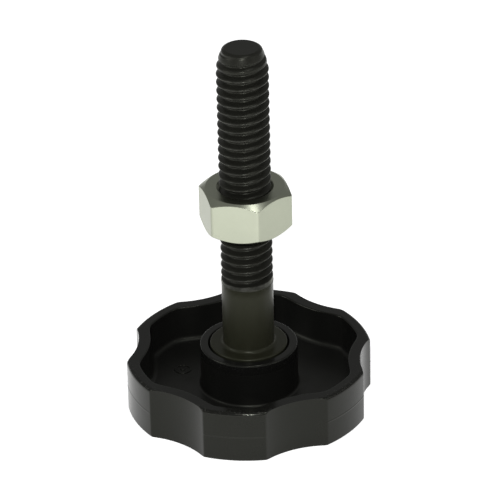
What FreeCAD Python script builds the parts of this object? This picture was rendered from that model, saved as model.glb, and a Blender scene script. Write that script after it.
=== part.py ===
import FreeCAD, Part

import math
import os

# ---------------------------------------------------------------------------
# Furniture leveling foot.  Millimetres, +Z up.
# Origin: centre of the glide face, where the foot stands on the floor.
# One lobe of the hand wheel points along -Y.
# ---------------------------------------------------------------------------

# Foot: one moulding, a six-lobed hand wheel with an open cup on top
BASE_DIAMETER = 38.0            # across the lobes
BASE_HEIGHT = 8.4               # glide face to rim
LOBES = 6
SCALLOP_RADIUS = 13.05          # finger hollow between two lobes
SCALLOP_DEPTH = 1.75            # deepest point of a hollow, inside the lobe circle
WALL = 1.85                     # thickness of the outer wall
FLOOR = 2.6                     # floor of the cup above the glide face
CUP_CORNER = 1.2                # round of the cup's upright corners
CUP_FILLET = 0.8                # round where the cup's wall meets its floor
RIM_EDGE = 0.55                 # round on the outer edge of the lobes' tops
MOUTH_CHAMFER = 0.2             # broken inner edge of the rim
GLIDE_CHAMFER = 0.15            # broken edge round the glide face
RECESS_DIAMETER = 22.0          # shallow relief in the middle of the glide face
RECESS_DEPTH = 0.4

# Boss in the middle of the cup, which grips the root of the stud
BOSS_DIAMETER = 15.0
BOSS_TOP = 9.8
BOSS_EDGE = 0.25                # rounded top edge
BOSS_FOOT = 0.8                 # round where the boss leaves the floor

# Stud: 5/16-18 UNC thread, plain shank, seated flange and knurled root
THREAD_DIAMETER = 7.9375        # 5/16 in
THREADS_PER_INCH = 18
STUD_TIP = 60.325               # 2 3/8 in above the glide face
TIP_RADII = (2.6, 3.05, 3.64)   # of the tip's flat, its broken edge and its bowed taper
TIP_DROPS = (0.0, 0.25, 1.67)   # how far below the tip each of them lies
TIP_TAPER = 3.1                 # where the taper reaches the thread's full diameter
SHANK_DIAMETER = 7.9
SHANK_TOP = 20.8                # where the thread has run out
FLANGE_DIAMETER = 11.9
FLANGE_TOP = 10.0
FLANGE_THICKNESS = 1.6
FLANGE_EDGE = 0.2               # broken edge of the flange
FLARE_RADIUS = 0.5              # round between the flange and the shank
ROOT_DIAMETER = 9.0             # knurled root inside the boss
ROOT_BOTTOM = 2.2
ROOT_TEETH = 16
ROOT_TOOTH_DEPTH = 0.4
GROOVE_DIAMETER = 7.4           # groove in the root that the moulding locks into
GROOVE_BOTTOM = 4.2
GROOVE_HEIGHT = 1.4

# Lock nut: hexagon nut on the same thread
NUT_ACROSS_FLATS = 12.7         # 1/2 in
NUT_HEIGHT = 6.75               # 17/64 in
NUT_BOTTOM = 30.3
NUT_CORNER_ANGLE = 22.5         # one corner, turned from -Y towards +X, degrees
NUT_FACE_DIAMETER = 12.0        # where the corner chamfers meet the end faces
NUT_CHAMFER_ANGLE = 35.0        # from the end face, degrees
NUT_MINOR_DIAMETER = 6.6        # bore between the threads
NUT_COUNTERSINK_DIAMETER = 8.7
NUT_FLANK_GAP = 0.07            # clearance between the two threads, square to a flank

# Thread form: 60 degree flanks, worked out from the pitch
PITCH = 25.4 / THREADS_PER_INCH
FLANK_ANGLE = math.radians(30.0)
FLANK_TANGENT = math.tan(FLANK_ANGLE)
THREAD_RADIUS = THREAD_DIAMETER / 2
ROOT_RADIUS = THREAD_RADIUS - 0.6134 * PITCH
CREST_HALF_WIDTH = PITCH / 16
POINTS_PER_TURN = 24
RUN_OUT_TURNS = 0.9             # the groove fades out over this much of a turn
TURNS_PAST_TIP = 0.5            # the groove's cutter runs on past the tip
BEYOND = 0.1                    # how far a thread cutter reaches past its cylinder
CUTTER_EDGE = 0.02              # thickness left in the cutter where the groove has faded out
CLEARANCE = 1.0                 # how far any other cutter reaches past what it cuts

# Direction in which the thread's crest crosses a whole number of pitches: -Y
START_ANGLE = math.radians(-90.0)


def vector(radius, angle, z):
    """Point at a radius, an angle in radians and a height."""
    return FreeCAD.Vector(radius * math.cos(angle), radius * math.sin(angle), z)


def revolved(outline):
    """Solid of revolution about Z from a closed outline of edges in the XZ plane."""
    face = Part.Face(Part.Wire(outline))
    return face.revolve(FreeCAD.Vector(0, 0, 0), FreeCAD.Vector(0, 0, 1), 360)


def line(start, end):
    """Straight edge between two (radius, height) points in the XZ plane."""
    return Part.LineSegment(
        FreeCAD.Vector(start[0], 0, start[1]), FreeCAD.Vector(end[0], 0, end[1])
    ).toShape()


def arc(start, middle, end):
    """Arc through three (radius, height) points in the XZ plane."""
    points = [FreeCAD.Vector(r, 0, z) for r, z in (start, middle, end)]
    return Part.Arc(*points).toShape()


def round_corner(centre, radius, start_angle, end_angle):
    """Quarter arc in the XZ plane about a (radius, height) centre; angles in degrees."""
    points = []
    for angle in (start_angle, (start_angle + end_angle) / 2, end_angle):
        turn = math.radians(angle)
        points.append(
            (centre[0] + radius * math.cos(turn), centre[1] + radius * math.sin(turn))
        )
    return arc(*points)


def disc(radius, bottom, top):
    """Plain cylinder about Z."""
    return Part.makeCylinder(radius, top - bottom, FreeCAD.Vector(0, 0, bottom))


# --- Foot ------------------------------------------------------------------

def cup_outline():
    """Closed wire of lobe arcs and scallop arcs, a wall's thickness inside the wheel's."""
    lobe_radius = BASE_DIAMETER / 2 - WALL
    scallop_radius = SCALLOP_RADIUS + WALL
    scallop_centre = BASE_DIAMETER / 2 - SCALLOP_DEPTH + SCALLOP_RADIUS
    # Half the angle of a scallop at the wheel's centre, by the cosine rule
    half_scallop = math.acos(
        (lobe_radius**2 + scallop_centre**2 - scallop_radius**2)
        / (2 * lobe_radius * scallop_centre)
    )
    step = 2 * math.pi / LOBES
    half_lobe = step / 2 - half_scallop
    edges = []
    for lobe in range(LOBES):
        middle = START_ANGLE + lobe * step
        lobe_start = vector(lobe_radius, middle - half_lobe, 0)
        lobe_end = vector(lobe_radius, middle + half_lobe, 0)
        next_start = vector(lobe_radius, middle + step - half_lobe, 0)
        deepest = vector(scallop_centre - scallop_radius, middle + step / 2, 0)
        edges.append(Part.Arc(lobe_start, vector(lobe_radius, middle, 0), lobe_end).toShape())
        edges.append(Part.Arc(lobe_end, deepest, next_start).toShape())
    return Part.Wire(edges)


def prism(wire, bottom, top):
    """Upright prism of a wire that lies at height zero."""
    solid = Part.Face(wire).extrude(FreeCAD.Vector(0, 0, top - bottom))
    solid.translate(FreeCAD.Vector(0, 0, bottom))
    return solid


def edges_at(solid, height):
    """Edges of a solid that lie wholly at one height."""
    found = []
    for edge in solid.Edges:
        box = edge.BoundBox
        if abs(box.ZMin - height) < 1e-6 and abs(box.ZMax - height) < 1e-6:
            found.append(edge)
    return found


def upright_edges(solid):
    """Edges of a prism that run along Z."""
    return [e for e in solid.Edges if e.BoundBox.ZLength > 1e-6]


def wheel_blank():
    """The turned disc that the wheel is scalloped from, with its edges broken."""
    radius = BASE_DIAMETER / 2
    edge_centre = (radius - RIM_EDGE, BASE_HEIGHT - RIM_EDGE)
    return revolved([
        line((0, 0), (radius - GLIDE_CHAMFER, 0)),
        line((radius - GLIDE_CHAMFER, 0), (radius, GLIDE_CHAMFER)),
        line((radius, GLIDE_CHAMFER), (radius, BASE_HEIGHT - RIM_EDGE)),
        round_corner(edge_centre, RIM_EDGE, 0, 90),
        line((radius - RIM_EDGE, BASE_HEIGHT), (0, BASE_HEIGHT)),
        line((0, BASE_HEIGHT), (0, 0)),
    ])


def scallop(lobe):
    """Upright cylinder that cuts the hollow after a lobe."""
    angle = START_ANGLE + (lobe + 0.5) * 2 * math.pi / LOBES
    centre = vector(BASE_DIAMETER / 2 - SCALLOP_DEPTH + SCALLOP_RADIUS, angle, -CLEARANCE)
    return Part.makeCylinder(SCALLOP_RADIUS, BASE_HEIGHT + 2 * CLEARANCE, centre)


def mouth_edges(wheel):
    """Edges of the cup's mouth, where it opens in the rim's flat top."""
    reach = BASE_DIAMETER / 2 - WALL + 1e-6
    found = []
    for edge in edges_at(wheel, BASE_HEIGHT):
        if all(math.hypot(v.X, v.Y) < reach for v in edge.Vertexes):
            found.append(edge)
    return found


def cup():
    """The open space of the cup, with rounded corners, up past the rim."""
    space = prism(cup_outline(), FLOOR, BASE_HEIGHT + CLEARANCE)
    space = space.makeFillet(CUP_CORNER, upright_edges(space))
    return space.makeFillet(CUP_FILLET, edges_at(space, FLOOR))


def boss():
    """Round boss with a rolled top edge and a round at its foot."""
    radius = BOSS_DIAMETER / 2
    foot_centre = (radius + BOSS_FOOT, FLOOR + BOSS_FOOT)
    edge_centre = (radius - BOSS_EDGE, BOSS_TOP - BOSS_EDGE)
    buried = FLOOR / 2
    return revolved([
        line((0, buried), (radius + BOSS_FOOT, buried)),
        line((radius + BOSS_FOOT, buried), (radius + BOSS_FOOT, FLOOR)),
        round_corner(foot_centre, BOSS_FOOT, 270, 180),
        line((radius, FLOOR + BOSS_FOOT), (radius, BOSS_TOP - BOSS_EDGE)),
        round_corner(edge_centre, BOSS_EDGE, 0, 90),
        line((radius - BOSS_EDGE, BOSS_TOP), (0, BOSS_TOP)),
        line((0, BOSS_TOP), (0, buried)),
    ])


def foot_base(buried_end):
    """The moulded foot, shaped round the root of the stud."""
    wheel = wheel_blank()
    for lobe in range(LOBES):
        wheel = wheel.cut(scallop(lobe))
    wheel = wheel.cut(cup())
    wheel = wheel.makeChamfer(MOUTH_CHAMFER, mouth_edges(wheel))
    wheel = wheel.fuse(boss())
    wheel = wheel.cut(disc(RECESS_DIAMETER / 2, 0, RECESS_DEPTH))
    return wheel.cut(buried_end).removeSplitter()


# --- Thread ----------------------------------------------------------------

def helical_curve(radius_at, height_at, turns):
    """Smooth right-hand helical curve; radius and height are functions of the turn."""
    steps = round((turns[1] - turns[0]) * POINTS_PER_TURN)
    stations = [turns[0] + (turns[1] - turns[0]) * i / steps for i in range(steps + 1)]
    points = []
    for turn in stations:
        angle = START_ANGLE + 2 * math.pi * turn
        points.append(vector(radius_at(turn), angle, height_at(turn)))
    curve = Part.BSplineCurve()
    curve.interpolate(Points=points, Parameters=stations)
    return curve


def ruled_face(first, second):
    """Face of straight lines between two curves that share their stations."""
    surface = Part.BSplineSurface()
    surface.buildFromPolesMultsKnots(
        [first.getPoles(), second.getPoles()],
        [2, 2],
        first.getMultiplicities(),
        [0.0, 1.0],
        first.getKnots(),
        False,
        False,
        1,
        first.Degree,
    )
    return surface.toShape()


def helical_cutter(corners, turns):
    """Closed solid swept along the helix; corners are (radius, height) functions."""
    curves = [helical_curve(radius_at, height_at, turns) for radius_at, height_at in corners]
    faces = []
    for first, second in zip(curves, curves[1:] + curves[:1]):
        faces.append(ruled_face(first, second))
    for end in ("StartPoint", "EndPoint"):
        ring = [getattr(curve, end) for curve in curves]
        faces.append(Part.Face(Part.makePolygon(ring + ring[:1])))
    shell = Part.Shell(faces)
    shell.sewShape()
    solid = Part.Solid(Part.Shell(shell.Faces))
    if solid.Volume < 0:
        solid.reverse()
    return solid


def stud_groove():
    """The space between the stud's threads, which fades out above the shank."""
    outer = THREAD_RADIUS + BEYOND
    root_half_width = PITCH / 2 - CREST_HALF_WIDTH - (THREAD_RADIUS - ROOT_RADIUS) * FLANK_TANGENT
    first = SHANK_TOP / PITCH
    last = STUD_TIP / PITCH + TURNS_PAST_TIP

    def root_radius(turn):
        fade = max(0.0, 1 - (turn - first) / RUN_OUT_TURNS)
        return ROOT_RADIUS + (outer - CUTTER_EDGE - ROOT_RADIUS) * fade

    def half_width(turn):
        return root_half_width + (outer - root_radius(turn)) * FLANK_TANGENT

    corners = [
        (lambda turn: outer, lambda turn: turn * PITCH - half_width(turn)),
        (root_radius, lambda turn: turn * PITCH - root_half_width),
        (root_radius, lambda turn: turn * PITCH + root_half_width),
        (lambda turn: outer, lambda turn: turn * PITCH + half_width(turn)),
    ]
    # The groove runs half a pitch away from the crest
    cutter = helical_cutter(corners, (first, last))
    cutter.translate(FreeCAD.Vector(0, 0, PITCH / 2))
    return cutter


def nut_groove():
    """The space in the nut's bore that the stud's thread runs in."""
    axial_gap = NUT_FLANK_GAP / math.cos(FLANK_ANGLE)
    inner = NUT_MINOR_DIAMETER / 2 - BEYOND
    outer = THREAD_RADIUS + BEYOND
    tip_half_width = CREST_HALF_WIDTH + axial_gap - BEYOND * FLANK_TANGENT
    mouth_half_width = tip_half_width + (outer - inner) * FLANK_TANGENT
    corners = [
        (lambda turn: outer, lambda turn: turn * PITCH - tip_half_width),
        (lambda turn: inner, lambda turn: turn * PITCH - mouth_half_width),
        (lambda turn: inner, lambda turn: turn * PITCH + mouth_half_width),
        (lambda turn: outer, lambda turn: turn * PITCH + tip_half_width),
    ]
    first = math.floor(NUT_BOTTOM / PITCH) - 1
    last = math.ceil((NUT_BOTTOM + NUT_HEIGHT) / PITCH) + 1
    return helical_cutter(corners, (first, last))


# --- Stud ------------------------------------------------------------------

def seat_and_shank():
    """Flange, flare and plain shank, up to where the thread begins."""
    flange = FLANGE_DIAMETER / 2
    flange_bottom = FLANGE_TOP - FLANGE_THICKNESS
    shank = SHANK_DIAMETER / 2
    edge_centre = (flange - FLANGE_EDGE, FLANGE_TOP - FLANGE_EDGE)
    flare_centre = (shank + FLARE_RADIUS, FLANGE_TOP + FLARE_RADIUS)
    return revolved([
        line((0, flange_bottom), (flange, flange_bottom)),
        line((flange, flange_bottom), (flange, FLANGE_TOP - FLANGE_EDGE)),
        round_corner(edge_centre, FLANGE_EDGE, 0, 90),
        line((flange - FLANGE_EDGE, FLANGE_TOP), (shank + FLARE_RADIUS, FLANGE_TOP)),
        round_corner(flare_centre, FLARE_RADIUS, 270, 180),
        line((shank, FLANGE_TOP + FLARE_RADIUS), (shank, SHANK_TOP)),
        line((shank, SHANK_TOP), (0, SHANK_TOP)),
        line((0, SHANK_TOP), (0, flange_bottom)),
    ])


def threaded_rod():
    """The threaded length, with its tapered tip."""
    rod = disc(THREAD_RADIUS, SHANK_TOP, STUD_TIP).cut(stud_groove())
    # The ring of metal that is turned away round the tip
    clear = THREAD_RADIUS + CLEARANCE
    above = STUD_TIP + CLEARANCE
    profile = [(r, STUD_TIP - drop) for r, drop in zip(TIP_RADII, TIP_DROPS)]
    profile.append((THREAD_RADIUS, STUD_TIP - TIP_TAPER))
    profile += [(clear, STUD_TIP - TIP_TAPER), (clear, above), (TIP_RADII[0], above)]
    ring = revolved([line(a, b) for a, b in zip(profile, profile[1:] + profile[:1])])
    return rod.cut(ring)


def knurled_root():
    """Straight-knurled, grooved root that the foot is moulded round."""
    tip = ROOT_DIAMETER / 2
    valley = tip - ROOT_TOOTH_DEPTH
    points = []
    for step in range(2 * ROOT_TEETH):
        radius = tip if step % 2 == 0 else valley
        points.append(vector(radius, math.pi * step / ROOT_TEETH, 0))
    root = prism(Part.makePolygon(points + points[:1]), ROOT_BOTTOM, FLANGE_TOP - FLANGE_THICKNESS)
    groove_top = GROOVE_BOTTOM + GROOVE_HEIGHT
    groove = disc(tip + CLEARANCE, GROOVE_BOTTOM, groove_top)
    groove = groove.cut(disc(GROOVE_DIAMETER / 2, GROOVE_BOTTOM, groove_top))
    return root.cut(groove)


# --- Lock nut --------------------------------------------------------------

def lock_nut():
    """Hexagon nut, chamfered on both end faces, with its own thread."""
    across_corners = NUT_ACROSS_FLATS / math.cos(math.pi / 6)
    first_corner = START_ANGLE + math.radians(NUT_CORNER_ANGLE)
    corners = [
        vector(across_corners / 2, first_corner + i * math.pi / 3, 0) for i in range(6)
    ]
    top = NUT_BOTTOM + NUT_HEIGHT
    hexagon = prism(Part.makePolygon(corners + corners[:1]), NUT_BOTTOM, top)
    # Turned envelope that breaks the six corners at both ends
    face = NUT_FACE_DIAMETER / 2
    reach = across_corners / 2 + CLEARANCE
    drop = (reach - face) * math.tan(math.radians(NUT_CHAMFER_ANGLE))
    envelope = revolved([
        line((0, NUT_BOTTOM), (face, NUT_BOTTOM)),
        line((face, NUT_BOTTOM), (reach, NUT_BOTTOM + drop)),
        line((reach, NUT_BOTTOM + drop), (reach, top - drop)),
        line((reach, top - drop), (face, top)),
        line((face, top), (0, top)),
        line((0, top), (0, NUT_BOTTOM)),
    ])
    nut = hexagon.common(envelope)
    bore = NUT_MINOR_DIAMETER / 2
    sink = NUT_COUNTERSINK_DIAMETER / 2
    nut = nut.cut(revolved([
        line((0, NUT_BOTTOM), (sink, NUT_BOTTOM)),
        line((sink, NUT_BOTTOM), (bore, NUT_BOTTOM + sink - bore)),
        line((bore, NUT_BOTTOM + sink - bore), (bore, top - sink + bore)),
        line((bore, top - sink + bore), (sink, top)),
        line((sink, top), (0, top)),
        line((0, top), (0, NUT_BOTTOM)),
    ]))
    return nut.cut(nut_groove())


# --- Build -----------------------------------------------------------------

def single_solid(shape, name):
    """The one solid that a node must be."""
    if len(shape.Solids) != 1:
        raise ValueError(f"{name} has {len(shape.Solids)} solids")
    return shape.Solids[0]


def build():
    buried_end = seat_and_shank().fuse(knurled_root())
    nodes = {
        "foot_base": foot_base(buried_end),
        "threaded_stud": buried_end.fuse(threaded_rod()),
        "lock_nut": lock_nut(),
    }
    os.makedirs("parts", exist_ok=True)
    for name, shape in nodes.items():
        solid = single_solid(shape, name)
        solid.exportStep(f"parts/{name}.step")
        box = solid.BoundBox
        print(f"{name}: valid {solid.isValid()}, {solid.Volume:.1f} mm3, "
              f"z {box.ZMin:.3f} to {box.ZMax:.3f}")


build()
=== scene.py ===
import bpy
import bmesh
import math
from mathutils import Matrix, Vector


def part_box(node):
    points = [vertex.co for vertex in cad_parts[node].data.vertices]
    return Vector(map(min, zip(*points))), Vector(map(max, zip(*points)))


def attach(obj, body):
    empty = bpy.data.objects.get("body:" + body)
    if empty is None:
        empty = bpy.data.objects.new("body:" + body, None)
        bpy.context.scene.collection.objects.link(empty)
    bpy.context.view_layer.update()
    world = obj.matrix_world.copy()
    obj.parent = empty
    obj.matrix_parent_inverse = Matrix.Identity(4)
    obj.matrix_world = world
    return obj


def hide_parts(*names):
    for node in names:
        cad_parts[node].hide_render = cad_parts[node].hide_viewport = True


# ---------------------------------------------------------------------------
# Furniture leveling foot: moulded six-lobed foot, threaded steel stud, lock nut.
# Metres, +Z up, origin at the centre of the glide face, one lobe towards -Y.
# ---------------------------------------------------------------------------

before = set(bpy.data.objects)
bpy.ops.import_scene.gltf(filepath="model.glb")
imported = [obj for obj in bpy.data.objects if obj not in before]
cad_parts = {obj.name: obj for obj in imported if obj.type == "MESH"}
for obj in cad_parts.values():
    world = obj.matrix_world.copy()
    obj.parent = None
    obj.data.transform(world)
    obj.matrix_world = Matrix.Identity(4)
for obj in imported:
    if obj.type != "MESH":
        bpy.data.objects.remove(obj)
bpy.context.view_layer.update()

MM = 0.001
FOOT_LOW, FOOT_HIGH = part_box("foot_base")
STUD_LOW, STUD_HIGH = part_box("threaded_stud")
NUT_LOW, NUT_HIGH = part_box("lock_nut")

# Moulded foot
LOBES = 6
WHEEL_RADIUS = -FOOT_LOW[1]
SCALLOP_RADIUS = 13.05 * MM
SCALLOP_DEPTH = 1.75 * MM
WALL = 1.85 * MM
RIM_HEIGHT = 8.4 * MM
RIM_EDGE = 0.55 * MM
GLIDE_EDGE = 0.15 * MM
PARTING_HEIGHT = 4.1 * MM
CUP_FLOOR = 2.6 * MM
BOSS_RADIUS = 7.5 * MM
BOSS_TOP = FOOT_HIGH[2]
BOSS_EDGE = 0.25 * MM
BOSS_FOOT = 0.4 * MM
CUP_FILLET = 0.8 * MM
RECESS_RADIUS = 11.0 * MM
RECESS_DEPTH = 0.4 * MM

# Stud
COLUMNS = 96
START_ANGLE = -math.pi / 2
PITCH = 25.4 * MM / 18
CREST_RADIUS = 7.9375 * MM / 2
ROOT_RADIUS = CREST_RADIUS - 0.6134 * PITCH
FLANK_SLOPE = math.tan(math.radians(60))
SHANK_RADIUS = 7.9 * MM / 2
SHANK_TOP = 20.8 * MM
STUD_TIP = STUD_HIGH[2]
FLANGE_RADIUS = STUD_HIGH[0]
FLANGE_TOP = 10.0 * MM
FLANGE_BOTTOM = FLANGE_TOP - 1.6 * MM
FLARE = 0.5 * MM
ROOT_TIP_RADIUS = 4.5 * MM
ROOT_TOOTH = 0.4 * MM
ROOT_TEETH = 16
ROOT_BOTTOM = STUD_LOW[2]
GROOVE_RADIUS = 3.7 * MM
GROOVE_BOTTOM = 4.2 * MM
GROOVE_TOP = 5.6 * MM

# Lock nut
NUT_BOTTOM, NUT_TOP = NUT_LOW[2], NUT_HIGH[2]
NUT_HALF_FLATS = 12.7 * MM / 2
NUT_CORNER = START_ANGLE + math.radians(22.5)
NUT_FACE_RADIUS = 6.0 * MM
NUT_CHAMFER = math.tan(math.radians(35))
NUT_MINOR_RADIUS = 3.3 * MM
NUT_SINK_RADIUS = 4.35 * MM
FLANK_GAP = 0.07 * MM


# ---------------------------------------------------------------------------
# Node trees
# ---------------------------------------------------------------------------

class Value:
    """A number from a node's socket; arithmetic on it adds Math nodes."""

    def __init__(self, graph, socket):
        self.graph = graph
        self.socket = socket

    def math(self, operation, *others):
        return self.graph.math(operation, self, *others)

    def __add__(self, other):
        return self.math("ADD", other)

    def __sub__(self, other):
        return self.math("SUBTRACT", other)

    def __rsub__(self, other):
        return self.graph.math("SUBTRACT", other, self)

    def __mul__(self, other):
        return self.math("MULTIPLY", other)

    def __truediv__(self, other):
        return self.math("DIVIDE", other)

    __radd__ = __add__
    __rmul__ = __mul__

    def min(self, other):
        return self.math("MINIMUM", other)

    def max(self, other):
        return self.math("MAXIMUM", other)


class Graph:
    """Adds nodes to one shader or geometry tree."""

    def __init__(self, tree):
        self.tree = tree

    def node(self, kind, settings=None, inputs=None):
        node = self.tree.nodes.new(kind)
        for name, value in (settings or {}).items():
            setattr(node, name, value)
        for name, value in (inputs or {}).items():
            self.feed(node.inputs[name], value)
        return node

    def feed(self, socket, value):
        if isinstance(value, Value):
            value = value.socket
        if isinstance(value, bpy.types.NodeSocket):
            self.tree.links.new(value, socket)
        else:
            socket.default_value = value

    def math(self, operation, *values):
        node = self.node("ShaderNodeMath", {"operation": operation}, dict(enumerate(values)))
        return Value(self, node.outputs[0])

    def value(self, node, output=0):
        return Value(self, node.outputs[output])


def geometry_tree(name, sizes):
    """New geometry tree with a geometry input, named number inputs and a material."""
    tree = bpy.data.node_groups.new(name, "GeometryNodeTree")
    tree.interface.new_socket("Geometry", in_out="OUTPUT", socket_type="NodeSocketGeometry")
    tree.interface.new_socket("Geometry", in_out="INPUT", socket_type="NodeSocketGeometry")
    for size in sizes:
        tree.interface.new_socket(size, in_out="INPUT", socket_type="NodeSocketFloat")
    tree.interface.new_socket("Material", in_out="INPUT", socket_type="NodeSocketMaterial")
    graph = Graph(tree)
    return graph, graph.node("NodeGroupInput")


def close_tree(graph, geometry, material):
    """Realize, weld and give the material."""
    real = graph.node("GeometryNodeRealizeInstances", inputs={"Geometry": geometry})
    weld = graph.node(
        "GeometryNodeMergeByDistance", inputs={"Geometry": real.outputs[0], "Distance": 1e-6}
    )
    done = graph.node(
        "GeometryNodeSetMaterial",
        inputs={"Geometry": weld.outputs[0], "Material": material},
    )
    out = graph.node("NodeGroupOutput")
    graph.feed(out.inputs[0], done.outputs[0])
    return graph.tree


def repeat_around_tree():
    """Repeats a sector evenly round the axis and welds the copies into one skin."""
    graph, group = geometry_tree("repeat_around", ["Count"])
    points = graph.node("GeometryNodePoints", inputs={"Count": group.outputs["Count"]})
    index = graph.value(graph.node("GeometryNodeInputIndex"))
    turn = index * (2 * math.pi) / graph.value(group, "Count")
    angles = graph.node("ShaderNodeCombineXYZ", inputs={"Z": turn})
    copies = graph.node("GeometryNodeInstanceOnPoints", inputs={
        "Points": points.outputs[0],
        "Instance": group.outputs["Geometry"],
        "Rotation": angles.outputs[0],
    })
    return close_tree(graph, copies.outputs[0], group.outputs["Material"])


THREAD_SIZES = (
    "Low", "High", "Pitch", "Crest Radius", "Root Radius", "Root Half Width", "Round", "Run Out"
)


def thread_tree(name, columns, rows_per_pitch, turns, first_row, shape_end, flip=False):
    """Screws a threaded skin up the axis and welds it to the piece that comes in.

    Rows of the skin follow the helix, so that each keeps its place on the thread
    form all the way up.  shape_end bends the radius at the ends of the thread.
    """
    graph, group = geometry_tree(name, THREAD_SIZES)
    size = {label: graph.value(group, label) for label in THREAD_SIZES}
    grid = graph.node("GeometryNodeMeshGrid", inputs={
        "Size X": 1.0,
        "Size Y": 1.0,
        "Vertices X": columns + 1,
        "Vertices Y": turns * rows_per_pitch + 1,
    })
    place = graph.node(
        "ShaderNodeSeparateXYZ", inputs={0: graph.node("GeometryNodeInputPosition").outputs[0]}
    )
    around = graph.value(place, "X") + 0.5
    turn = (graph.value(place, "Y") + 0.5) * turns + first_row
    climb = (turn + around) * size["Pitch"]
    height = climb.max(size["Low"]).min(size["High"])
    # Distance along the axis from the middle of the groove
    off_groove = ((turn + 1000).math("FRACT") - 0.5).math("ABSOLUTE") * size["Pitch"]
    fade = (1 - (height - size["Low"]) / size["Run Out"]).max(0.0)
    groove = size["Root Radius"] + (size["Crest Radius"] - size["Root Radius"]) * fade
    flank = groove + (off_groove - size["Root Half Width"]) * FLANK_SLOPE
    radius = flank.math("SMOOTH_MIN", size["Crest Radius"], size["Round"])
    radius = radius.math("SMOOTH_MAX", groove, size["Round"])
    radius = shape_end(radius, height, climb, size)
    angle = around * (2 * math.pi) + START_ANGLE
    spot = graph.node("ShaderNodeCombineXYZ", inputs={
        "X": angle.math("COSINE") * radius,
        "Y": angle.math("SINE") * radius,
        "Z": height,
    })
    skin = graph.node("GeometryNodeSetPosition", inputs={
        "Geometry": grid.outputs["Mesh"],
        "Position": spot.outputs[0],
    }).outputs[0]
    if flip:
        skin = graph.node("GeometryNodeFlipFaces", inputs={"Mesh": skin}).outputs[0]
    both = graph.node("GeometryNodeJoinGeometry")
    graph.feed(both.inputs[0], skin)
    graph.feed(both.inputs[0], group.outputs["Geometry"])
    return close_tree(graph, both.outputs[0], group.outputs["Material"])


def run_tree(piece, tree, values):
    """Runs a geometry tree on a piece and leaves the plain mesh that it makes."""
    modifier = piece.modifiers.new("shape", "NODES")
    modifier.node_group = tree
    for item in tree.interface.items_tree:
        if item.in_out == "INPUT" and item.name in values:
            modifier[item.identifier] = values[item.name]
    evaluated = piece.evaluated_get(bpy.context.evaluated_depsgraph_get())
    mesh = bpy.data.meshes.new_from_object(evaluated)
    mesh.name = piece.name
    piece.modifiers.remove(modifier)
    piece.data = mesh


# ---------------------------------------------------------------------------
# Mesh helpers
# ---------------------------------------------------------------------------

def smooth_min(first, second, width):
    """The smaller of two lengths, blended where they are within a width of each other."""
    near = max(width - abs(first - second), 0) / width
    return min(first, second) - near * near * width / 4


def rounded(corners, steps=5, span=None):
    """Points of an outline with rounded corners.

    corners are (distance, height, radius).  A point is added just before and after
    each round, so that a flat beside it stays flat when it is shaded smoothly.
    """
    points = []
    for i, (x, z, radius) in enumerate(corners):
        here = Vector((x, z))
        if radius == 0 or i in (0, len(corners) - 1):
            points.append(here)
            continue
        before = (Vector(corners[i - 1][:2]) - here).normalized()
        after = (Vector(corners[i + 1][:2]) - here).normalized()
        half = before.angle(after) / 2
        reach = radius / math.tan(half)
        guard = reach + min(0.03 * MM, 0.2 * reach)
        points.append(here + before * guard)
        centre = here + (before + after).normalized() * (radius / math.sin(half))
        start = here + before * reach - centre
        end = here + after * reach - centre
        sweep = start.angle_signed(end)
        for step in range(steps + 1):
            turned = start.copy()
            turned.rotate(Matrix.Rotation(-sweep * step / steps, 2))
            points.append(centre + turned)
        points.append(here + after * guard)
    if span is None:
        return points
    # Long flats are cut into even spans
    filled = [points[0]]
    for start, end in zip(points, points[1:]):
        pieces = max(1, math.ceil((end - start).length / span))
        filled += [start.lerp(end, k / pieces) for k in range(1, pieces + 1)]
    return filled


def skin(name, rows, closed=True):
    """Mesh object from rows of points; each row runs round the axis."""
    mesh = bmesh.new()
    rings = [[mesh.verts.new(point) for point in row] for row in rows]
    for lower, upper in zip(rings, rings[1:]):
        count = len(lower)
        for i in range(count if closed else count - 1):
            j = (i + 1) % count
            mesh.faces.new((lower[i], lower[j], upper[j], upper[i]))
    bmesh.ops.remove_doubles(mesh, verts=mesh.verts, dist=1e-7)
    return new_piece(name, mesh)


def new_piece(name, mesh):
    data = bpy.data.meshes.new(name)
    mesh.to_mesh(data)
    mesh.free()
    piece = bpy.data.objects.new(name, data)
    bpy.context.collection.objects.link(piece)
    return piece


def shade(piece, sharp_degrees=45):
    piece.data.shade_smooth()
    piece.data.set_sharp_from_angle(angle=math.radians(sharp_degrees))


def around(radius, angle, height):
    return Vector((radius * math.cos(angle), radius * math.sin(angle), height))


# ---------------------------------------------------------------------------
# Moulded foot
# ---------------------------------------------------------------------------

def scallop_reach(inset, off_middle):
    """Distance from the axis to a scallop's wall, at an angle from its middle."""
    centre = WHEEL_RADIUS - SCALLOP_DEPTH + SCALLOP_RADIUS
    radius = SCALLOP_RADIUS + inset
    inside = max(radius**2 - (centre * math.sin(off_middle))**2, 0)
    return centre * math.cos(off_middle) - math.sqrt(inside)


def corner_angle(inset):
    """Angle from a lobe's middle to the corner where its scallop begins."""
    lobe = WHEEL_RADIUS - inset
    centre = WHEEL_RADIUS - SCALLOP_DEPTH + SCALLOP_RADIUS
    radius = SCALLOP_RADIUS + inset
    half_scallop = math.acos((lobe**2 + centre**2 - radius**2) / (2 * lobe * centre))
    return math.pi / LOBES - half_scallop


def sector_angle(inset, place):
    """Angle from a lobe's middle.

    place runs from 0 there, through 1 at the corner, to 2 at the scallop's middle.
    """
    corner = corner_angle(inset)
    if place <= 1:
        return place * corner
    return corner + (place - 1) * (math.pi / LOBES - corner)


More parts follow.
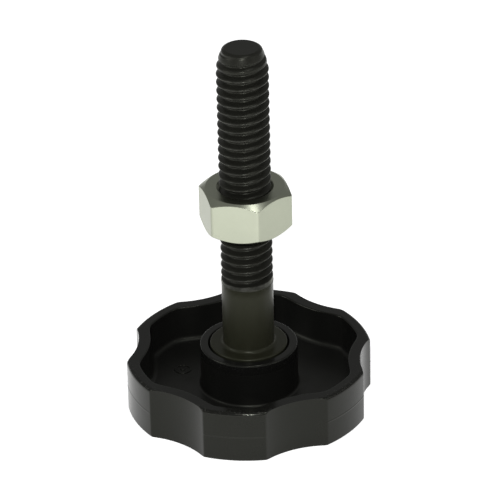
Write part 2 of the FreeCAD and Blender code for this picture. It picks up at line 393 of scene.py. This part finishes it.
def outer_point(drop_in, height, place):
    """Point on the outer skin, where the lobes stand a little inside the wheel's circle."""
    angle = sector_angle(0, abs(place))
    lobe = WHEEL_RADIUS - drop_in
    scallop = scallop_reach(0, math.pi / LOBES - angle)
    return around(
        smooth_min(lobe, scallop, 0.12 * MM), START_ANGLE + math.copysign(angle, place), height
    )


def wheel_point(distance, height, place):
    """Point on the foot inside its outer skin; distance is along a lobe's middle.

    The lobed outline dies away towards the round parts in the middle.
    """
    lobed = min(max((distance - 11.2 * MM) / (3.9 * MM), 0), 1)
    lobed = lobed * lobed * (3 - 2 * lobed)
    inset = min(WHEEL_RADIUS - distance, 4.0 * MM)
    angle = sector_angle(inset, abs(place))
    blend = 0.12 * MM + 0.5 * inset
    lobe = WHEEL_RADIUS - inset
    outline = smooth_min(lobe, scallop_reach(inset, math.pi / LOBES - angle), blend)
    radius = distance + (outline * distance / lobe - distance) * lobed
    return around(radius, START_ANGLE + math.copysign(angle, place), height)


def outer_rows(places):
    """The outer skin, from the glide face up to the inside of the rim's rounded edge."""
    bead = 0.04 * MM
    rows = [(GLIDE_EDGE, 0.0)]
    for step in range(1, 4):
        turn = math.pi / 2 * step / 3
        rows.append((GLIDE_EDGE * (1 - math.sin(turn)), GLIDE_EDGE * (1 - math.cos(turn))))
    rows += [
        (0.0, 0.3 * MM),
        (0.0, PARTING_HEIGHT / 2),
        (0.0, PARTING_HEIGHT - 0.17 * MM),
        (0.0, PARTING_HEIGHT - 0.12 * MM),
        (-bead, PARTING_HEIGHT - 0.04 * MM),
        (-bead, PARTING_HEIGHT + 0.04 * MM),
        (0.0, PARTING_HEIGHT + 0.12 * MM),
        (0.0, PARTING_HEIGHT + 0.17 * MM),
        (0.0, (PARTING_HEIGHT + RIM_HEIGHT) / 2),
    ]
    low = RIM_HEIGHT - RIM_EDGE
    rows.append((0.0, low - 0.1 * MM))
    for step in range(9):
        turn = math.pi / 2 * step / 8
        rows.append((RIM_EDGE * (1 - math.cos(turn)), low + RIM_EDGE * math.sin(turn)))
    points = []
    for inward, height in rows:
        points.append([outer_point(bead + inward, height, place) for place in places])
    return points


def inner_section():
    """Outline of the foot from the rim's flat top in, down and up the boss."""
    inner = WHEEL_RADIUS - WALL
    socket = FLANGE_RADIUS + 0.02 * MM
    return rounded([
        (WHEEL_RADIUS - RIM_EDGE - 0.05 * MM, RIM_HEIGHT, 0),
        (inner, RIM_HEIGHT, 0.25 * MM),
        (inner - 0.15 * MM, CUP_FLOOR, CUP_FILLET),
        (BOSS_RADIUS, CUP_FLOOR, BOSS_FOOT),
        (BOSS_RADIUS, BOSS_TOP, BOSS_EDGE),
        (FLANGE_RADIUS + 0.35 * MM, BOSS_TOP, 0.12 * MM),
        (socket, BOSS_TOP - 0.45 * MM, 0),
        (socket, FLANGE_BOTTOM, 0),
        (ROOT_TIP_RADIUS, FLANGE_BOTTOM, 0),
        (ROOT_TIP_RADIUS, ROOT_BOTTOM, 0),
        (0, ROOT_BOTTOM, 0),
    ], span=1.2 * MM)


def underside_section():
    """Outline of the glide face, from the stub of the sprue in its middle outwards."""
    return rounded([
        (0, RECESS_DEPTH - 0.25 * MM, 0),
        (0.9 * MM, RECESS_DEPTH - 0.25 * MM, 0.1 * MM),
        (1.1 * MM, RECESS_DEPTH, 0.08 * MM),
        (RECESS_RADIUS, RECESS_DEPTH, 0.12 * MM),
        (RECESS_RADIUS + 0.25 * MM, 0, 0.15 * MM),
        (WHEEL_RADIUS - GLIDE_EDGE - 0.3 * MM, 0, 0),
    ], span=1.2 * MM)


def foot_moulding(material):
    """One lobe with half a scallop on each side, repeated round the axis."""
    half = 13
    places = []
    for i in range(-2 * half, 2 * half + 1):
        side = abs(i) / half - 1
        places.append(math.copysign(1 + math.copysign(abs(side)**1.7, side), i))
    rows = [[wheel_point(x, z, place) for place in places] for x, z in underside_section()]
    rows += outer_rows(places)
    rows += [[wheel_point(x, z, place) for place in places] for x, z in inner_section()]
    foot = skin("foot_moulding", rows, closed=False)
    run_tree(foot, repeat_around_tree(), {"Count": float(LOBES), "Material": material})
    shade(foot)
    return foot


def mould_mark(material):
    """Small raised ring and dot on the cup's floor: the mould's cavity mark."""
    middle = around(11.1 * MM, START_ANGLE - math.radians(104), CUP_FLOOR)
    ring = rounded([
        (1.35 * MM, -0.05 * MM, 0), (1.35 * MM, 0.14 * MM, 0.1 * MM),
        (1.0 * MM, 0.14 * MM, 0.1 * MM), (1.0 * MM, -0.05 * MM, 0), (1.35 * MM, -0.05 * MM, 0),
    ], steps=4)
    dot = rounded([
        (0.42 * MM, -0.05 * MM, 0), (0.42 * MM, 0.14 * MM, 0.13 * MM), (0, 0.14 * MM, 0),
    ], steps=4)
    mesh = bmesh.new()
    for outline in (ring, dot):
        rings = []
        for x, z in outline:
            turn = [2 * math.pi * i / 40 for i in range(40)]
            rings.append([mesh.verts.new(middle + around(x, angle, z)) for angle in turn])
        for lower, upper in zip(rings, rings[1:]):
            for i in range(40):
                j = (i + 1) % 40
                mesh.faces.new((lower[i], lower[j], upper[j], upper[i]))
    bmesh.ops.remove_doubles(mesh, verts=mesh.verts, dist=1e-7)
    bmesh.ops.holes_fill(mesh, edges=mesh.edges)
    bmesh.ops.recalc_face_normals(mesh, faces=mesh.faces)
    mark = new_piece("mould_mark", mesh)
    mark.data.materials.append(material)
    shade(mark, 60)
    return mark


# ---------------------------------------------------------------------------
# Stud
# ---------------------------------------------------------------------------

def root_radius(base, angle):
    """Radius of the straight-knurled root, whose teeth are small triangles."""
    place = (angle - START_ANGLE) * ROOT_TEETH / (2 * math.pi) % 1
    return base - ROOT_TOOTH * (1 - abs(2 * place - 1))


def turned_end(name):
    """Knurled root, flange, flare and plain shank, up to the start of the thread."""
    angles = [START_ANGLE + 2 * math.pi * i / COLUMNS for i in range(COLUMNS)]
    knurled = ROOT_TIP_RADIUS
    root = [
        (0, ROOT_BOTTOM, False), (knurled - 0.5 * MM, ROOT_BOTTOM, False),
        (knurled, ROOT_BOTTOM + 0.4 * MM, True), (knurled, GROOVE_BOTTOM, True),
        (GROOVE_RADIUS, GROOVE_BOTTOM, False), (GROOVE_RADIUS, GROOVE_TOP, False),
        (knurled, GROOVE_TOP, True), (knurled, FLANGE_BOTTOM, True),
    ]
    rows = []
    for radius, height, toothed in root:
        rows.append([
            around(root_radius(radius, a) if toothed else radius, a, height) for a in angles
        ])
    seat = rounded([
        (ROOT_TIP_RADIUS + 0.1 * MM, FLANGE_BOTTOM, 0),
        (FLANGE_RADIUS, FLANGE_BOTTOM, 0.1 * MM),
        (FLANGE_RADIUS, FLANGE_TOP, 0.25 * MM),
        (SHANK_RADIUS, FLANGE_TOP, FLARE),
        (SHANK_RADIUS, SHANK_TOP - 0.05 * MM, 0),
        (CREST_RADIUS, SHANK_TOP, 0),
    ], steps=10, span=1.5 * MM)
    rows += [[around(x, a, z) for a in angles] for x, z in seat]
    return skin(name, rows)


def stud_end(radius, height, climb, size):
    """Tapered and flattened tip: two slopes, a broken edge, then the flat."""
    below = size["High"] - height
    for at_tip, slope in ((3.14, 0.26), (2.93, 0.43), (2.62, 1.75)):
        radius = radius.math("SMOOTH_MIN", below * slope + at_tip * MM, 0.12 * MM)
    past = (climb - size["High"]).max(0.0) / size["Pitch"]
    return (radius * (1 - past)).max(0.0)


def stud(material):
    piece = turned_end("stud")
    first = math.floor(SHANK_TOP / PITCH) - 1
    turns = math.ceil(STUD_TIP / PITCH) + 1 - first
    tree = thread_tree("stud_thread", COLUMNS, 18, turns, first, stud_end)
    run_tree(piece, tree, {
        "Low": SHANK_TOP, "High": STUD_TIP, "Pitch": PITCH,
        "Crest Radius": CREST_RADIUS, "Root Radius": ROOT_RADIUS,
        "Root Half Width": PITCH / 12, "Round": 0.18 * MM, "Run Out": 0.9 * PITCH,
        "Material": material,
    })
    shade(piece, 50)
    return piece


# ---------------------------------------------------------------------------
# Lock nut
# ---------------------------------------------------------------------------

def nut_column(off_middle):
    """Outline of the nut at an angle from the middle of a flat, from bore to bore."""
    own = NUT_HALF_FLATS / math.cos(off_middle)
    beside = NUT_HALF_FLATS / math.cos(math.pi / 3 - abs(off_middle))
    reach = smooth_min(own, beside, 0.3 * MM)
    drop = (reach - NUT_FACE_RADIUS) * NUT_CHAMFER
    edge = 0.12 * MM
    return rounded([
        (NUT_SINK_RADIUS, NUT_BOTTOM, 0),
        (NUT_FACE_RADIUS, NUT_BOTTOM, edge),
        (reach, NUT_BOTTOM + drop, edge),
        (reach, NUT_TOP - drop, edge),
        (NUT_FACE_RADIUS, NUT_TOP, edge),
        (NUT_SINK_RADIUS, NUT_TOP, 0),
    ], steps=4)


def nut_sector(name):
    """One flat of the hexagon, from corner to corner."""
    columns = COLUMNS // 6
    outlines = []
    for i in range(columns + 1):
        even = 2 * i / columns - 1
        crowded = math.copysign(1 - (1 - abs(even))**1.6, even)
        off = crowded * math.pi / 6
        points = []
        for x, z in nut_column(off):
            # The rim of the bore keeps even columns, to meet the thread's
            shift = off if x > NUT_SINK_RADIUS + MM else even * math.pi / 6
            points.append(around(x, NUT_CORNER + math.pi / 6 + shift, z))
        outlines.append(points)
    return skin(name, zip(*outlines), closed=False)


def nut_end(radius, height, climb, size):
    """Countersinks at both ends of the bore."""
    sink = NUT_SINK_RADIUS
    return radius.max(sink - (height - size["Low"])).max(sink - (size["High"] - height))


def lock_nut(material):
    piece = nut_sector("hex_lock_nut")
    run_tree(piece, repeat_around_tree(), {"Count": 6.0, "Material": material})
    first = math.floor(NUT_BOTTOM / PITCH) - 2
    turns = math.ceil(NUT_TOP / PITCH) + 1 - first
    gap = FLANK_GAP / math.cos(math.radians(30))
    # Half width of the flat at the nut's minor radius, where the stud's groove is widest
    flank_at_minor = PITCH / 12 + (NUT_MINOR_RADIUS - ROOT_RADIUS) / FLANK_SLOPE
    tree = thread_tree("nut_thread", COLUMNS, 12, turns, first, nut_end, flip=True)
    run_tree(piece, tree, {
        "Low": NUT_BOTTOM, "High": NUT_TOP, "Pitch": PITCH,
        "Crest Radius": CREST_RADIUS + 0.1 * MM, "Root Radius": NUT_MINOR_RADIUS,
        "Root Half Width": flank_at_minor - gap, "Round": 0.08 * MM, "Run Out": 0.01 * PITCH,
        "Material": material,
    })
    shade(piece, 40)
    return piece


# ---------------------------------------------------------------------------
# Materials
# ---------------------------------------------------------------------------

def new_material(name):
    """Material with an empty Principled shader; gives its graph, shader and position."""
    material = bpy.data.materials.new(name)
    material.use_nodes = True
    material.node_tree.nodes.clear()
    graph = Graph(material.node_tree)
    shader = graph.node("ShaderNodeBsdfPrincipled")
    out = graph.node("ShaderNodeOutputMaterial")
    graph.feed(out.inputs["Surface"], shader.outputs[0])
    place = graph.node("ShaderNodeTexCoord").outputs["Object"]
    return material, graph, shader, place


def noise(graph, place, size, detail=3.0, stretch=(1, 1, 1)):
    """Noise whose features are about a given size in metres."""
    mapping = graph.node("ShaderNodeMapping", inputs={"Vector": place, "Scale": stretch})
    node = graph.node("ShaderNodeTexNoise", inputs={
        "Vector": mapping.outputs[0], "Scale": 1 / size, "Detail": detail,
    })
    return graph.value(node, "Fac" if "Fac" in node.outputs else 0)


def between(graph, amount, low, high):
    """0 below low, 1 above high, smooth in between."""
    node = graph.node("ShaderNodeMapRange", {"interpolation_type": "SMOOTHSTEP"}, {
        "Value": amount, "From Min": low, "From Max": high,
    })
    return graph.value(node)


def blend(graph, amount, first, second):
    """Colour that goes from the first to the second."""
    node = graph.node("ShaderNodeMix", {"data_type": "RGBA"})
    graph.feed(node.inputs["Factor"], amount)
    for socket, colour in ((node.inputs[6], first), (node.inputs[7], second)):
        graph.feed(socket, colour)
    return node.outputs[2]


def bump(graph, shader, height, distance):
    node = graph.node("ShaderNodeBump", inputs={
        "Height": height, "Distance": distance, "Strength": 1.0,
    })
    graph.feed(shader.inputs["Normal"], node.outputs[0])


def moulded_plastic():
    """Glossy black plastic: faint flow, smudges, fine scuffs on the edges hands touch."""
    material, graph, shader, place = new_material("glossy_black_moulded_plastic")
    axes = graph.node("ShaderNodeSeparateXYZ", inputs={0: place})
    x, y, z = (graph.value(axes, name) for name in "XYZ")
    distance = (x * x + y * y).math("SQRT")
    flow = noise(graph, place, 6 * MM, 2.0)
    smudge = between(graph, noise(graph, place, 3.5 * MM, 4.0), 0.5, 0.75)
    grit = noise(graph, place, 0.35 * MM, 3.0)
    scratches = noise(graph, place, 0.5 * MM, 2.0, (1, 1, 0.12))
    rim = between(graph, z, RIM_HEIGHT - 0.35 * MM, RIM_HEIGHT - 0.1 * MM)
    foot = 1 - between(graph, z, 0.0, 0.5 * MM)
    outer = between(graph, distance, WHEEL_RADIUS - WALL, WHEEL_RADIUS)
    worn = ((rim + foot).min(1.0) * outer * between(graph, grit, 0.5, 0.68)).min(1.0)
    colour = blend(graph, flow, (0.0048, 0.0048, 0.0044, 1), (0.0078, 0.0078, 0.0072, 1))
    colour = blend(graph, worn * 0.5, colour, (0.035, 0.035, 0.032, 1))
    graph.feed(shader.inputs["Base Color"], colour)
    # The inside of the cup is a little duller than what hands polish
    inner_wall = WHEEL_RADIUS - WALL
    inside = 1 - between(graph, distance, inner_wall - 0.05 * MM, inner_wall + 0.05 * MM)
    dull = inside * (1 - rim)
    rough = 0.13 + smudge * 0.08 + flow * 0.04 + worn * 0.2 + dull * 0.22
    graph.feed(shader.inputs["Roughness"], rough)
    shader.inputs["IOR"].default_value = 1.31
    shader.inputs["Specular Tint"].default_value = (0.97, 1, 0.85, 1)
    height = noise(graph, place, 1.4 * MM, 2.0) * 0.6 + scratches * 0.12 + grit * 0.06
    bump(graph, shader, height, 0.012 * MM)
    return material


def black_steel():
    """Black-oxide steel: oily sheen, bare glints where the crests have rubbed."""
    material, graph, shader, place = new_material("oiled_black_oxide_steel")
    axes = graph.node("ShaderNodeSeparateXYZ", inputs={0: place})
    x, y, z = (graph.value(axes, name) for name in "XYZ")
    distance = (x * x + y * y).math("SQRT")
    cloud = noise(graph, place, 2.5 * MM, 4.0)
    grain = noise(graph, place, 0.22 * MM, 3.0)
    drawn = noise(graph, place, 0.3 * MM, 2.0, (1, 1, 0.08))
    threaded = between(graph, z, SHANK_TOP - 0.2 * MM, SHANK_TOP + 0.3 * MM)
    crest = between(graph, distance, CREST_RADIUS - 0.12 * MM, CREST_RADIUS) * threaded
    rubbed = crest * between(graph, noise(graph, place, 0.9 * MM, 3.0), 0.4, 0.65)
    plain = (1 - threaded) * between(graph, z, FLANGE_TOP - 1.0 * MM, FLANGE_TOP)
    colour = blend(graph, cloud, (0.008, 0.0081, 0.0067, 1), (0.0145, 0.0145, 0.0118, 1))
    colour = blend(graph, plain * 0.75, colour, (0.017, 0.0175, 0.0095, 1))
    colour = blend(graph, rubbed * 0.6, colour, (0.05, 0.05, 0.045, 1))
    graph.feed(shader.inputs["Base Color"], colour)
    graph.feed(shader.inputs["Metallic"], 0.08 + rubbed * 0.35)
    graph.feed(shader.inputs["Roughness"], 0.25 + cloud * 0.1 + grain * 0.06 - rubbed * 0.05)
    shader.inputs["IOR"].default_value = 1.28
    shader.inputs["Specular Tint"].default_value = (0.97, 1, 0.85, 1)
    bump(graph, shader, grain * 0.5 + drawn * plain * 0.8 + cloud * 0.3, 0.01 * MM)
    return material


def zinc_plate():
    """Bright zinc plate: faint clouding, the lines of the bar that it was cut from, and painted shade in
    the bore.
    """
    material, graph, shader, place = new_material("bright_zinc_plate")
    axes = graph.node("ShaderNodeSeparateXYZ", inputs={0: place})
    x, y, z = (graph.value(axes, name) for name in "XYZ")
    distance = (x * x + y * y).math("SQRT")
    cloud = noise(graph, place, 3.0 * MM, 4.0)
    grain = noise(graph, place, 0.2 * MM, 3.0)
    drawn = noise(graph, place, 0.5 * MM, 2.0, (1, 1, 0.06))
    rings = (distance * (2 * math.pi / (0.16 * MM))).math("SINE")
    inner = between(graph, z, NUT_BOTTOM + 0.02 * MM, NUT_BOTTOM + 0.05 * MM)
    outer = 1 - between(graph, z, NUT_TOP - 0.05 * MM, NUT_TOP - 0.02 * MM)
    side = inner * outer
    # Painted shade: the bore and the inner part of its countersinks are coloured darker, as shade inside
    # the hole.
    bore = 1 - between(graph, distance, NUT_SINK_RADIUS - 0.6 * MM, NUT_SINK_RADIUS)
    colour = blend(graph, cloud, (0.3, 0.317, 0.25, 1), (0.352, 0.371, 0.292, 1))
    colour = blend(graph, bore * 0.55, colour, (0.22, 0.225, 0.19, 1))
    graph.feed(shader.inputs["Base Color"], colour)
    shader.inputs["Metallic"].default_value = 1.0
    graph.feed(shader.inputs["Roughness"], 0.24 + cloud * 0.1 + grain * 0.05)
    height = drawn * side * 0.5 + rings * (1 - side) * 0.12 + grain * 0.25 + cloud * 0.4
    bump(graph, shader, height, 0.012 * MM)
    return material


def pale_floor():
    """White studio floor that glows as painted light, more in front of the foot and to its right, like a
    pool of light.
    """
    material, graph, shader, place = new_material("pale_floor")
    axes = graph.node("ShaderNodeSeparateXYZ", inputs={0: place})
    ahead = between(graph, 0 - graph.value(axes, "Y"), 38 * MM, 62 * MM)
    beside = between(graph, graph.value(axes, "X"), 42 * MM, 64 * MM)
    # Painted light: the floor's glow is raised in front of the foot and to its right, where a lamp's
    # pool of light would fall.
    level = 0.6 + ahead * 0.75 + beside * 0.2
    tone = blend(graph, noise(graph, place, 0.4, 2.0), (0.9, 0.9, 0.9, 1), (0.92, 0.92, 0.92, 1))
    graph.feed(shader.inputs["Base Color"], tone)
    shader.inputs["Roughness"].default_value = 0.9
    shader.inputs["Specular IOR Level"].default_value = 0.0
    glow = blend(graph, level * 0.5, (0, 0, 0, 1), (2, 2, 2, 1))
    graph.feed(shader.inputs["Emission Color"], glow)
    shader.inputs["Emission Strength"].default_value = 1.0
    return material


# ---------------------------------------------------------------------------
# Studio
# ---------------------------------------------------------------------------

def studio_floor():
    mesh = bmesh.new()
    bmesh.ops.create_grid(mesh, x_segments=1, y_segments=1, size=6.0)
    floor = new_piece("studio_floor", mesh)
    floor.data.materials.append(pale_floor())


def soft_light(name, place, target, width, height, power):
    """Rectangular softbox that faces a target."""
    light = bpy.data.lights.new(name, "AREA")
    light.shape = "RECTANGLE"
    light.size = width
    light.size_y = height
    light.energy = power
    lamp = bpy.data.objects.new(name, light)
    lamp.location = place
    lamp.rotation_euler = (Vector(target) - Vector(place)).to_track_quat("-Z", "Y").to_euler()
    bpy.context.collection.objects.link(lamp)


def studio_lights():
    middle = (0, 0, 0.03)
    soft_light("camera_side_softbox", (0.07, -0.57, 0.43), middle, 0.015, 0.015, 2.2)
    soft_light("overhead_softbox", (0.18, -0.1, 0.91), middle, 0.12, 0.12, 0.8)
    soft_light("left_softbox", (-0.8, -0.3, 0.5), middle, 0.4, 0.5, 1.6)
    soft_light("right_softbox", (0.8, -0.2, 0.5), middle, 0.4, 0.5, 0.5)
    world = bpy.data.worlds.new("studio")
    bpy.context.scene.world = world
    world.use_nodes = True
    background = world.node_tree.nodes["Background"]
    background.inputs["Color"].default_value = (1, 1, 1, 1)
    background.inputs["Strength"].default_value = 0.3


def camera():
    """Long lens from the front, a little to the right, looking down at 29 degrees."""
    place = Vector((0.07613, -0.56179, 0.34613))
    pitch, yaw, roll = (math.radians(a) for a in (29.460, -7.664, -1.341))
    forward = Vector((
        math.sin(yaw) * math.cos(pitch), math.cos(yaw) * math.cos(pitch), -math.sin(pitch)
    ))
    level_right = Vector((math.cos(yaw), -math.sin(yaw), 0))
    level_up = level_right.cross(forward)
    right = math.cos(roll) * level_right + math.sin(roll) * level_up
    up = right.cross(forward)
    data = bpy.data.cameras.new("camera")
    data.sensor_width = 36
    data.lens = 308.79
    data.clip_start = 0.05
    viewer = bpy.data.objects.new("camera", data)
    viewer.matrix_world = Matrix.Translation(place) @ Matrix((right, up, -forward)).transposed().to_4x4()
    bpy.context.collection.objects.link(viewer)
    bpy.context.scene.camera = viewer
    bpy.context.scene.view_settings.view_transform = "Standard"


# ---------------------------------------------------------------------------
# Assembly
# ---------------------------------------------------------------------------

camera()
studio_floor()
studio_lights()

plastic = moulded_plastic()

foot = foot_moulding(plastic)
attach(foot, "foot")
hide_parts("foot_base")

mark = mould_mark(plastic)
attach(mark, "foot")

threaded = stud(black_steel())
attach(threaded, "foot")
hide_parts("threaded_stud")

nut = lock_nut(zinc_plate())
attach(nut, "nut")
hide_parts("lock_nut")
